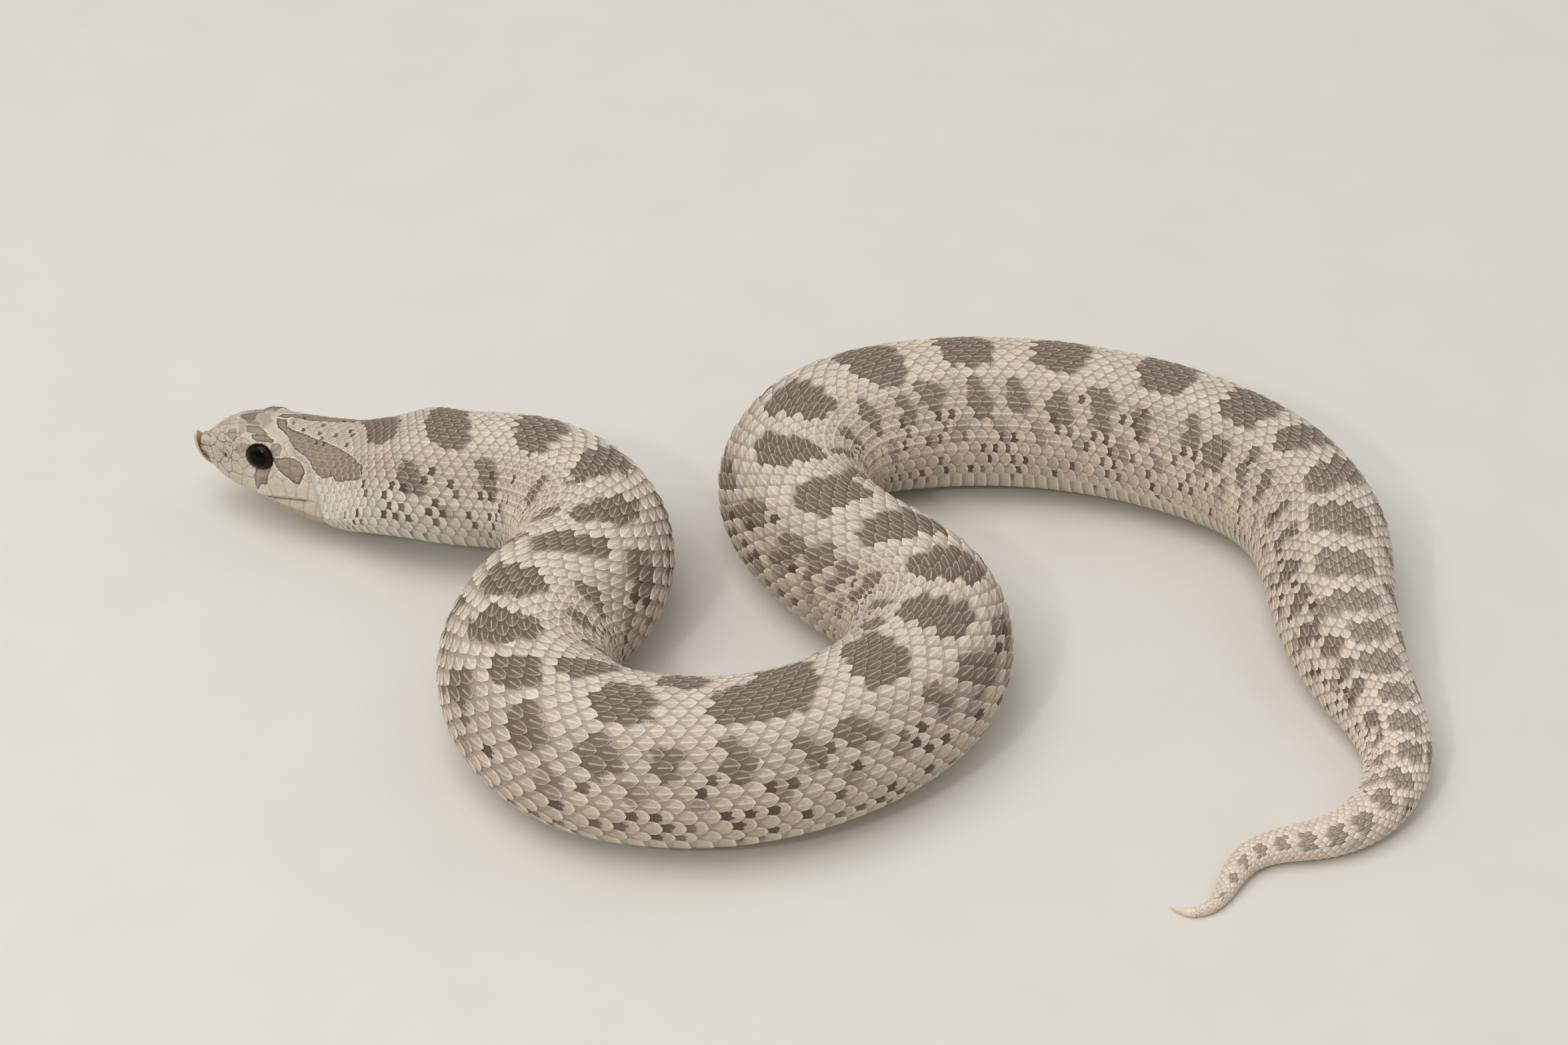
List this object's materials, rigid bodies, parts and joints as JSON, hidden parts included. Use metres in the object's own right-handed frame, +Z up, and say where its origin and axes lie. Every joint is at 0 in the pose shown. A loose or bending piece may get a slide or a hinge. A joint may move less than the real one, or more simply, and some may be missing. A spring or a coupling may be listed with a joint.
{
  "type": "western hognose snake, coiled in loose bends, as a still life-size model",
  "caption": "Stout pale hognose snake lying on its belly in loose S-bends, head just off the ground, with keeled scales and an upturned snout scale.",
  "frame": {"origin": "centre of the snake's footprint, on the ground plane that its belly rests on", "axes": "+X from the snout's side towards the tail's side, along the longest extent of the coils; +Y away from the front bend, towards the back run; +Z up, the shortest extent"},
  "size_m": [0.2059, 0.1228, 0.0249],
  "materials": {
    "skin": "dry keeled scales, pale lilac grey to cream, with dark grey brown blotches and flecks; satin",
    "throat_skin": "smooth cream chin and lip scales; satin",
    "rostral_horn": "ivory yellow horn, slightly worn at its edge; satin",
    "eye": "near black brown iris and round pupil under a clear, wet looking cap; glossy"
  },
  "bodies": {
    "root": {"head": "skin", "lower_jaw": "throat_skin", "rostral_scale": "rostral_horn", "eye_left": "eye", "eye_right": "eye", "neck": "skin", "trunk_first_bend": "skin", "trunk_second_bend": "skin", "trunk_front_run": "skin", "trunk_third_bend": "skin", "trunk_fourth_bend": "skin", "trunk_back_run": "skin", "trunk_hip_bend": "skin", "trunk_vent_length": "skin", "tail_base": "skin", "tail_tip": "skin"}
  },
  "joints": []
}
